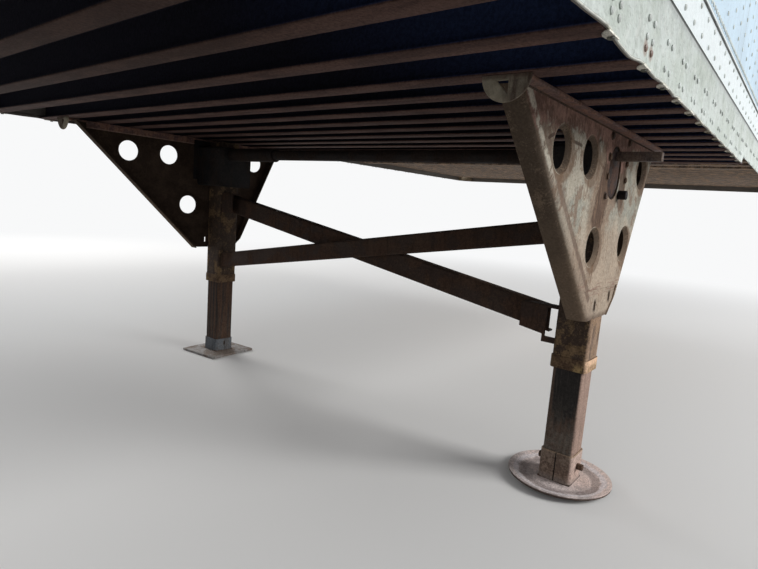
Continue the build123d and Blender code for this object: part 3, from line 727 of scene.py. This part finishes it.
finishes = {
    "rail": railPaint(),
    "wall": wallPaint(),
    "roll": rollPaint(),
    "rivet": rivetPaint(),
    "ear": rustedSteel(
        "earPaint", (0.93, 0.91, 0.80), (0.60, 0.57, 0.47), amount=0.3, dusty=0.0, worn=0.15
    ),
    "bolt": rustedSteel("boltSteel", (0.045, 0.028, 0.021), (0.12, 0.075, 0.050), dusty=0.1),
    "earBolt": rustedSteel("earBoltSteel", (0.20, 0.21, 0.18), (0.12, 0.115, 0.095), dusty=0.1),
    "beam": beamSteel(),
    "deck": deckWood(),
    "plate": rustedSteel(
        "couplerSteel", (0.205, 0.148, 0.110), (0.62, 0.435, 0.300), size=0.05, dusty=0.3, worn=0.7,
        along=(1, 0.05, 1),
    ),
    "wing": wingPaint(),
    "tab": tabPaint(),
    "angle": rustedSteel(
        "angleSteel", (0.190, 0.118, 0.104), (0.30, 0.170, 0.128), size=0.05, worn=0.35,
        edgeZ=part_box("mounting_angle_right")[0].z,
    ),
    "tube": rustedSteel(
        "tubeSteel", (0.062, 0.041, 0.030), (0.22, 0.145, 0.080), (0.37, 0.250, 0.170), 0.42, 0.06
    ),
    "collar": collarSteel(),
    "inner": innerLegSteel(),
    "socket": socketSteel(),
    "case": rustedSteel("caseIron", (0.014, 0.013, 0.014), (0.028, 0.022, 0.020), dusty=0.08),
    "cover": rustedSteel(
        "coverIron", (0.042, 0.029, 0.027), (0.100, 0.060, 0.046), size=0.03, dusty=0.1
    ),
    "lug": rustedSteel("lugIron", (0.010, 0.009, 0.010), (0.020, 0.015, 0.014), dusty=0.0),
    "bar": rustedSteel("barSteel", (0.125, 0.104, 0.100), (0.200, 0.150, 0.122), dusty=0.15),
    "shaft": rustedSteel("shaftSteel", (0.018, 0.014, 0.013), (0.034, 0.024, 0.020), dusty=0.05),
    "brace": rustedSteel("braceSteel", (0.048, 0.030, 0.023), (0.088, 0.052, 0.036), dusty=0.1),
    "zinc": rustedSteel(
        "zincSteel", (0.14, 0.155, 0.17), (0.13, 0.10, 0.085), amount=0.25, dusty=0.25
    ),
    "plateZinc": rustedSteel(
        "footPlateSteel", (0.36, 0.345, 0.335), (0.26, 0.21, 0.18), dusty=0.5
    ),
    "pad": padSteel(),
    "kingpin": rustedSteel("kingpinSteel", (0.12, 0.115, 0.11), (0.10, 0.07, 0.05), amount=0.3),
    "weld": rustedSteel("weldSteel", (0.075, 0.055, 0.045), (0.13, 0.085, 0.06), dusty=0.15),
}
finishOfNode = {
    "rail": "rail", "front_rail": "rail", "side_panel": "wall", "front_panel": "wall",
    "corner_post": "wall", "beam_clips": "ear", "crossmembers": "beam", "deck_boards": "deck",
    "coupler": "plate", "front_channels": "plate", "kingpin": "kingpin",
    "mounting_angle": "angle", "angle_end_tab": "tab", "wing_plate": "wing",
    "outer_leg": "tube", "leg_collar": "collar", "inner_leg": "inner", "gear_case": "case",
    "gear_cover": "cover", "cover_lug": "lug", "input_shaft": "bar", "cross_shaft": "shaft",
    "shaft_sleeve": "shaft", "brace": "brace", "bracket": "brace", "socket_right": "socket",
    "socket_left": "zinc", "foot_pad": "pad", "foot_plate": "plateZinc",
    "foot_pin_right": "bolt", "foot_pin_left": "zinc",
}
print("finishes made:", len(finishes))


def finishFor(name):
    key = max((start for start in finishOfNode if name.startswith(start)), key=len)
    return finishes[finishOfNode[key]]


making = {
    "mergeWithin": 0.00002,
    "flatWithin": math.radians(0.5),
    "sharpFrom": math.radians(35),
    "sameSpot": 0.0004,
}


def only(piece):  # selects one piece and makes it active
    bpy.ops.object.select_all(action="DESELECT")
    piece.select_set(True)
    bpy.context.view_layer.objects.active = piece


def startEdit(piece):  # opens one piece with all of it selected
    only(piece)
    bpy.ops.object.mode_set(mode="EDIT")
    bpy.ops.mesh.select_all(action="SELECT")


def endEdit():
    bpy.ops.object.mode_set(mode="OBJECT")


def applied(piece, kind, **settings):
    only(piece)
    modifier = piece.modifiers.new("step", kind)
    for key, value in settings.items():
        setattr(modifier, key, value)
    bpy.ops.object.modifier_apply(modifier="step")


def settled(piece):  # puts a piece's place and turn into its mesh
    only(piece)
    bpy.ops.object.transform_apply(location=True, rotation=True, scale=True)
    return piece


def pick(piece, kind, test):  # selects the points or faces that pass, and stays in edit mode
    startEdit(piece)
    bpy.ops.mesh.select_mode(type=kind)
    bpy.ops.mesh.select_all(action="DESELECT")
    endEdit()
    for part in piece.data.vertices if kind == "VERT" else piece.data.polygons:
        part.select = test(part)
    bpy.ops.object.mode_set(mode="EDIT")


def movePoints(piece, test, shift):
    pick(piece, "VERT", lambda point: test(point.co))
    bpy.ops.transform.translate(value=shift)
    endEdit()


def copied(piece):
    only(piece)
    bpy.ops.object.duplicate()
    return bpy.context.view_layer.objects.active


def tracedNode(name):  # a merged copy of a CAD node, to be finished as a piece of its own
    piece = copied(nodes[name])
    piece.parent = None
    piece.name = name + "_look"
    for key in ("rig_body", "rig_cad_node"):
        del piece[key]
    startEdit(piece)
    bpy.ops.mesh.remove_doubles(threshold=making["mergeWithin"])
    bpy.ops.mesh.dissolve_limited(angle_limit=making["flatWithin"])
    endEdit()
    return piece


def rounded(piece, width, segments=2):
    applied(
        piece, "BEVEL", width=width, segments=segments, limit_method="ANGLE",
        angle_limit=making["sharpFrom"],
    )


def finished(piece, material, replaced=(), smooth=30):
    only(piece)
    bpy.ops.object.shade_smooth_by_angle(angle=math.radians(smooth))
    piece.data.materials.clear()
    piece.data.materials.append(material)
    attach(piece, "root")
    if replaced:
        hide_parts(*replaced)
    return piece


def joined(pieces, name):
    bpy.ops.object.select_all(action="DESELECT")
    for piece in pieces:
        piece.select_set(True)
    bpy.context.view_layer.objects.active = pieces[0]
    bpy.ops.object.join()
    pieces[0].name = name
    return pieces[0]


def mirrored(piece, name):  # the same piece on the trailer's left
    other = copied(piece)
    other.name = name
    other.scale.y = -1
    startEdit(settled(other))
    bpy.ops.mesh.normals_make_consistent(inside=False)
    endEdit()
    return other


def finishedPair(right, leftName, material):  # with its copy on the trailer's left
    for piece in (right, mirrored(right, leftName)):
        finished(piece, material)


def inRow(piece, count, step):  # repeats a piece along a line
    applied(
        piece, "ARRAY", count=count, use_relative_offset=False, use_constant_offset=True,
        constant_offset_displace=step,
    )
    return piece


# A rivet or bolt head on a face: a short stem with its top drawn in and raised.
def headOn(place, facing, radius, height, sides, crown):
    facing = Vector(facing)
    stem = height * (1 - crown)
    bpy.ops.mesh.primitive_cylinder_add(
        vertices=sides, radius=radius, depth=stem, location=Vector(place) + facing * stem / 2,
        rotation=facing.to_track_quat("Z", "Y").to_euler(),
    )
    head = bpy.context.active_object
    pick(head, "FACE", lambda face: face.normal.z > 0.9)
    bpy.ops.mesh.inset(thickness=radius * (0.2 + 0.4 * crown))
    bpy.ops.transform.translate(value=facing * height * crown)
    endEdit()
    return settled(head)


edgeRounding = {
    "crossmembers_rear": 0.0015, "crossmembers_bay": 0.0015, "front_channels": 0.002,
    "coupler_plate": 0.002, "kingpin": 0.0015, "mounting_angle_right": 0.0015,
    "mounting_angle_left": 0.0015, "angle_end_tab_right": 0.0015, "angle_end_tab_left": 0.0015,
    "wing_plate_right": 0.0012, "wing_plate_left": 0.0012, "leg_collar_right": 0.0015,
    "leg_collar_left": 0.0015, "gear_cover_right": 0.002, "gear_cover_left": 0.002,
    "cover_lug": 0.002, "input_shaft": 0.002, "brace_rear": 0.0015, "brace_front": 0.0015,
    "bracket_low_right": 0.0015, "bracket_high_left": 0.0015, "socket_right": 0.002,
    "socket_left": 0.002, "foot_pad_right": 0.002, "foot_plate_left": 0.002,
    "gear_case_right": 0.002, "gear_case_left": 0.002, "beam_clips_right": 0.0008,
    "beam_clips_left": 0.0008,
}

rails = {
    "rounding": 0.0012,
    "faceIn": 0.0034,  # how far the lower face moves in, so that the rivet heads stay behind the rail's first outer face
    "faceLayer": 0.0016,  # the points of that face lie no deeper than this
    "setBack": 0.003,  # the upper face and the wall lie this far behind the lower face
    "upperIn": 0.0044,  # where the upper face moves to
    "upperFrom": 0.130,
    "lipHeight": 0.0112,
    "dents": (  # offset from the legs, and how far the lip is bent there, up or down
        (-1.117, -0.005), (-1.070, -0.003), (-1.028, 0.0), (-0.992, 0.002), (-0.974, 0.002),
        (-0.955, -0.002), (-0.929, -0.006), (-0.895, -0.008), (-0.860, -0.009), (-0.830, -0.006),
        (-0.806, -0.002), (-0.765, 0.001), (-0.727, -0.003), (-0.690, -0.004), (-0.665, -0.002),
        (-0.610, 0.001), (-0.557, 0.0), (-0.515, -0.003), (-0.476, 0.002), (-0.420, -0.001),
        (-0.355, -0.001), (-0.290, 0.002), (-0.218, 0.001), (-0.150, -0.002), (-0.080, 0.001),
        (-0.013, -0.003), (0.060, 0.001), (0.130, -0.002), (0.200, 0.001), (0.264, -0.003),
        (0.350, 0.0), (0.430, -0.002), (0.510, 0.001), (0.600, -0.002), (0.701, -0.003),
    ),
    "dentStep": 0.065,
    "dentSpread": (0.7, 1.3),
    "dentShift": (-0.004, 0.0016),
    "rollRadius": 0.0022,
    "rollSides": 10,
    "rise": 0.780,  # where the lip steps up, ahead of the legs
}


def lipBends(side):
    bends = [(legX + offset, shift) for offset, shift in rails["dents"]] if side < 0 else []
    end = bends[0][0] if bends else legX + rails["rise"]
    x = rearX + rails["dentStep"]
    while x < end - rails["dentStep"] / 2:
        bends.append((x, random.uniform(*rails["dentShift"])))
        x += rails["dentStep"] * random.uniform(*rails["dentSpread"])
    return bends


def bent(piece, bends):  # cuts a piece at the bends, and moves its low points there
    startEdit(piece)
    for x in [bend[0] for bend in bends]:
        bpy.ops.mesh.select_all(action="SELECT")
        bpy.ops.mesh.bisect(plane_co=(x, 0, 0), plane_no=(1, 0, 0))
    endEdit()
    for x, shift in bends:
        movePoints(
            piece,
            lambda co: abs(co.x - x) < making["sameSpot"] and co.z < underZ + rails["lipHeight"],
            (0, 0, shift),
        )


def makeRoll(side, bends):
    end, radius = legX + rails["rise"], rails["rollRadius"]
    bpy.ops.mesh.primitive_cylinder_add(
        vertices=rails["rollSides"], radius=radius, depth=end - rearX, rotation=(0, math.pi / 2, 0),
        location=((end + rearX) / 2, side * (sideY - rails["faceIn"]), underZ + radius),
    )
    roll = settled(bpy.context.active_object)
    roll.name = "rolled_edge_right" if side < 0 else "rolled_edge_left"
    bent(roll, bends)
    finished(roll, finishes["roll"], smooth=60)


def makeRails():
    for name, side in (("rail_right", -1), ("rail_left", 1)):
        piece = tracedNode(name)
        rounded(piece, rails["rounding"])
        faceTop = underZ + railLook["seam"] + 0.001
        movePoints(
            piece,
            lambda co: sideY - abs(co.y) < rails["faceLayer"] and co.z < faceTop,
            (0, -side * rails["faceIn"], 0),
        )
        movePoints(
            piece,
            lambda co: abs(sideY - abs(co.y) - rails["setBack"]) < making["sameSpot"]
            and co.z > underZ + rails["upperFrom"],
            (0, side * (rails["setBack"] - rails["upperIn"]), 0),
        )
        bends = lipBends(side)
        bent(piece, bends)
        finished(piece, finishes["rail"], (name,), smooth=12)
        makeRoll(side, bends)
    front = tracedNode("front_rail")
    rounded(front, rails["rounding"])
    movePoints(front, lambda co: noseX - co.x < rails["faceLayer"], (-rails["faceIn"], 0, 0))
    finished(front, finishes["rail"], ("front_rail",), smooth=12)
    print("rails bent and rounded")


# Rows give the first head's offset from the legs, its height above the rail's edge,
# the number of heads, and the pitch.
rivets = {
    "radius": 0.0064,
    "height": 0.0032,
    "wallHeight": 0.0027,
    "sides": 8,
    "crown": 0.5,  # share of a head's height above its stem
    "beamRows": ((-0.777, 5, -0.199), (-0.628, 11, 0.1455), (1.02, 12, 0.15)),
    "secondRow": 0.038,
    "beamHeights": (0.027, 0.076),
    "extraHeight": 0.046,
    "railRows": ((-1.63, 0.170, 45, 0.1), (-1.58, 0.220, 45, 0.1)),
    "wallRow": (-1.655, 0.262, 184, 0.025),
    "wallColumns": (-1.60, 38, 0.12, 6, 0.045),
    "frontRail": ((0.076, 24, 0.1), (0.170, 24, 0.1), (0.220, 24, 0.1)),
    "frontWall": (0.262, 94, 0.025),
}


def rivetOn(place, facing, tall):
    return headOn(place, facing, rivets["radius"], tall, rivets["sides"], rivets["crown"])


def sideRow(start, high, count, pitch, face, tall=rivets["height"]):
    place = (legX + start, face, underZ + high)
    return inRow(rivetOn(place, (0, -1, 0), tall), count, (pitch, 0, 0))


def frontRow(high, count, pitch, face, tall):
    place = (face, -pitch * (count - 1) / 2, underZ + high)
    return inRow(rivetOn(place, (1, 0, 0), tall), count, (0, pitch, 0))


def makeSideRivets():
    lowFace, highFace = -sideY + rails["faceIn"], -sideY + rails["upperIn"]
    wallFace, tall = -sideY + rails["setBack"], rivets["wallHeight"]
    rows = []
    for start, count, pitch in rivets["beamRows"]:
        for second in (0, rivets["secondRow"]):
            for high in rivets["beamHeights"]:
                rows.append(sideRow(start + second, high, count, pitch, lowFace))
    start, count, pitch = rivets["beamRows"][0]
    for second in (0, rivets["secondRow"]):
        rows.append(sideRow(start + second, rivets["extraHeight"], count, pitch, lowFace))
    for row in rivets["railRows"]:
        rows.append(sideRow(*row, highFace))
    rows.append(sideRow(*rivets["wallRow"], wallFace, tall))
    start, columns, pitch, rowCount, rowPitch = rivets["wallColumns"]
    place = (legX + start, wallFace, underZ + rivets["wallRow"][1] + rowPitch)
    column = inRow(rivetOn(place, (0, -1, 0), tall), rowCount, (0, 0, rowPitch))
    rows.append(inRow(column, columns, (pitch, 0, 0)))
    finishedPair(joined(rows, "rivets_right"), "rivets_left", finishes["rivet"])


def makeFrontRivets():
    face, wallFace = noseX - rails["faceIn"], noseX - rails["setBack"]
    rows = [frontRow(*row, face, rivets["height"]) for row in rivets["frontRail"]]
    rows.append(frontRow(*rivets["frontWall"], wallFace, rivets["wallHeight"]))
    finished(joined(rows, "rivets_front"), finishes["rivet"])


wingBolts = {
    "radius": 0.0095,
    "height": 0.0055,
    "sides": 6,
    "washer": 0.0135,
    "washerHeight": 0.0012,
    "washerSides": 12,
    "crown": 0.2,
    "rounding": 0.0006,
    "places": (
        (-0.132, 0.023), (-0.134, 0.084), (-0.135, 0.140), (-0.132, 0.197),
        (0.047, 0.021), (0.046, 0.086), (0.049, 0.137),
    ),
}


def makeWingBolts():
    heads, crown = [], wingBolts["crown"]
    washer = (wingBolts["washer"], wingBolts["washerHeight"], wingBolts["washerSides"])
    bolt = (wingBolts["radius"], wingBolts["height"], wingBolts["sides"])
    for offset, depth in wingBolts["places"]:
        place = Vector((legX + offset, -wingY, underZ - depth))
        heads.append(headOn(place, (0, -1, 0), *washer, crown))
        place.y -= wingBolts["washerHeight"]
        heads.append(headOn(place, (0, -1, 0), *bolt, crown))
    right = joined(heads, "gear_bolts_right")
    rounded(right, wingBolts["rounding"], 1)
    finishedPair(right, "gear_bolts_left", finishes["bolt"])


# The bolts under the half-round beam clips stand beside the rivets' rows.
earBolts = {
    "radius": 0.0062,
    "height": 0.0035,
    "sides": 6,
    "crown": 0.3,
    "ahead": 0.024,
    "inward": 0.0068,
}


def makeEarBolts():
    low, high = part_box("beam_clips_right")
    head = (earBolts["radius"], earBolts["height"], earBolts["sides"], earBolts["crown"])
    rows = []
    for start, count, pitch in rivets["beamRows"][:2]:
        place = (legX + start + earBolts["ahead"], earBolts["inward"] - sideY, low.z)
        rows.append(inRow(headOn(place, (0, 0, -1), *head), count, (pitch, 0, 0)))
    right = joined(rows, "ear_bolts_right")
    pick(right, "FACE", lambda face: face.center.x > high.x)
    bpy.ops.mesh.delete(type="FACE")
    endEdit()
    finishedPair(right, "ear_bolts_left", finishes["earBolt"])


# Lengths along the wing plate's top are offsets from the leg.
weld = {
    "radius": 0.0042,
    "pitch": 0.0034,
    "flattened": 0.7,
    "uneven": 0.0006,
    "plateStart": -0.755,
    "plateEnd": 0.372,
    "footHalf": 0.046,
    "socketUp": 0.001,
    "socketIn": 0.003,
    "braceHeight": 0.078,
    "braceDrop": 0.012,
    "braceLength": 0.060,
}


def bead(start, end):  # a row of flattened drops, from one place to another
    start, end = Vector(start), Vector(end)
    count = max(2, round((end - start).length / weld["pitch"]))
    bpy.ops.mesh.primitive_ico_sphere_add(subdivisions=1, radius=weld["radius"], location=start)
    drop = bpy.context.active_object
    drop.scale = [weld["flattened"] if abs(part) > 0.001 else 1.0 for part in end - start]
    startEdit(drop)
    bpy.ops.transform.vertex_random(offset=weld["uneven"], seed=3)
    endEdit()
    return inRow(settled(drop), count, (end - start) / count)


def squareBead(middle, half):  # a bead round a square tube
    turns = ((-1, -1), (1, -1), (1, 1), (-1, 1))
    corners = [Vector(middle) + Vector((a * half, b * half, 0)) for a, b in turns]
    return [bead(corners[i], corners[(i + 1) % 4]) for i in range(4)]


def braceBead(x, face, top):
    start = top - weld["braceDrop"]
    return bead((x, face, start), (x, face, start - weld["braceLength"]))


def makeWelds():
    tubeLow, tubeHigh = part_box("outer_leg_right")
    plateLow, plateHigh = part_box("wing_plate_right")
    legHalf = (tubeHigh.x - tubeLow.x) / 2
    start, end = legX + weld["plateStart"], legX + weld["plateEnd"]
    beads = []
    for side in (-1, 1):
        face, foot = side * (legY + legHalf), weld["footHalf"]
        beads.append(bead((legX - foot, face, plateLow.z), (legX + foot, face, plateLow.z)))
        top = (side * wingY, plateHigh.z)
        beads.append(bead((start, *top), (end, *top)))
        low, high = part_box("socket_right" if side < 0 else "socket_left")
        middle = (legX, side * legY, low.z + weld["socketUp"])
        beads += squareBead(middle, (high.x - low.x) / 2 - weld["socketIn"])
        face = side * (legY - legHalf)
        low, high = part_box("brace_rear")
        beads.append(braceBead(low.x, face, high.z if side < 0 else low.z + weld["braceHeight"]))
        if side > 0:
            low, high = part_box("brace_front")
            beads.append(braceBead(low.x, face, high.z))
    finished(joined(beads, "weld_beads"), finishes["weld"], smooth=80)
    print("bolts, rivets and welds made")


def dressNodes():
    for name, width in edgeRounding.items():
        piece = tracedNode(name)
        rounded(piece, width)
        finished(piece, finishFor(name), (name,))
    replaced = {*edgeRounding, "rail_right", "rail_left", "front_rail"}
    for name, node in nodes.items():
        if name not in replaced:
            node.data.materials.clear()
            node.data.materials.append(finishFor(name))
    print("CAD nodes dressed")


studio = {
    "floorSize": 60,
    "floorColor": (0.80, 0.79, 0.77),
    "floorBounce": (0.26, 0.25, 0.24),  # what the floor throws back up at the trailer
    "floorFade": (3.5, 9.0),  # the floor turns into the background between these distances
    "background": (0.94, 0.945, 0.95),
    "skyColor": (0.93, 0.95, 1.0),
    "skyStrength": 0.32,
    "lamps": (  # name, place, aim, size, watts
        ("key", (1.8, -10.0, 4.4), (-1.8, -0.6, -0.4), 5.0, 1060),
        ("fill", (-1.0, 9.0, 3.5), (-1.8, 0.6, -0.2), 5.0, 500),
        ("back", (-11.0, -2.0, 3.0), (-3.0, 0.0, -0.2), 5.0, 80),
    ),
}


def makeStudio():
    bpy.ops.mesh.primitive_plane_add(size=studio["floorSize"], location=(0, 0, groundZ))
    floor = bpy.context.active_object
    floor.name = "floor"
    paint = Finish("floorPaint")
    seen = paint.seenDirectly()
    paint.color = paint.mix(seen, studio["floorBounce"], studio["floorColor"])
    floor.data.materials.append(paint.done(0.85, grain=0))
    fade = paint.away(paint.x, paint.y, (rearX / 2, 0)).fromTo(*studio["floorFade"])
    pale = paint.node("ShaderNodeEmission", sockets=(studio["background"], 1.0))
    both = paint.node("ShaderNodeMixShader", sockets={0: fade * seen, 2: pale})
    paint.tree.links.new(paint.shader.outputs[0], both.socket.node.inputs[1])
    paint.tree.links.new(both.socket, paint.tree.nodes["Material Output"].inputs["Surface"])
    world = bpy.data.worlds.new("sky")
    bpy.context.scene.world = world
    world.use_nodes = True
    world.node_tree.nodes.clear()
    sky = Maker(world.node_tree)
    light = sky.node("ShaderNodeBackground", sockets=(studio["skyColor"], studio["skyStrength"]))
    pale = sky.node("ShaderNodeBackground", sockets=(studio["background"], 1.0))
    seen = sky.node("ShaderNodeMixShader", sockets=(sky.seenDirectly(), light, pale))
    end = world.node_tree.nodes.new("ShaderNodeOutputWorld")
    world.node_tree.links.new(seen.socket, end.inputs["Surface"])
    for name, place, aim, size, watts in studio["lamps"]:
        bpy.ops.object.light_add(type="AREA", location=place)
        lamp = bpy.context.active_object
        lamp.name = name
        lamp.data.energy, lamp.data.size = watts, size
        turn = (Vector(aim) - Vector(place)).to_track_quat("-Z", "Y")
        lamp.rotation_euler = turn.to_euler()
    print("studio ready")


view = {
    "place": (-3.963, -1.574, -0.333),
    "yaw": 38.349,  # degrees to the left of straight ahead
    "pitch": 8.372,  # degrees down
    "roll": 4.412,
    "lens": 25.73,
    "sensor": 36.0,
    "nearest": 0.02,
}


def makeCamera():
    yaw, pitch, roll = (math.radians(view[key]) for key in ("yaw", "pitch", "roll"))
    level = Vector((math.cos(yaw), math.sin(yaw), 0))
    ahead = math.cos(pitch) * level - Vector((0, 0, math.sin(pitch)))
    right = ahead.cross(Vector((0, 0, 1))).normalized()
    up = right.cross(ahead)
    turnedRight = math.cos(roll) * right + math.sin(roll) * up
    turnedUp = -math.sin(roll) * right + math.cos(roll) * up
    bpy.ops.object.camera_add()
    camera = bpy.context.active_object
    axes = Matrix((turnedRight, turnedUp, -ahead)).transposed()
    camera.matrix_world = Matrix.Translation(view["place"]) @ axes.to_4x4()
    camera.data.lens, camera.data.sensor_width = view["lens"], view["sensor"]
    camera.data.clip_start = view["nearest"]
    bpy.context.scene.camera = camera
    print("camera placed")


makeStudio()
makeCamera()
makeRails()
makeSideRivets()
makeFrontRivets()
makeWingBolts()
makeEarBolts()
makeWelds()
dressNodes()
bpy.context.scene.view_settings.view_transform = "Standard"
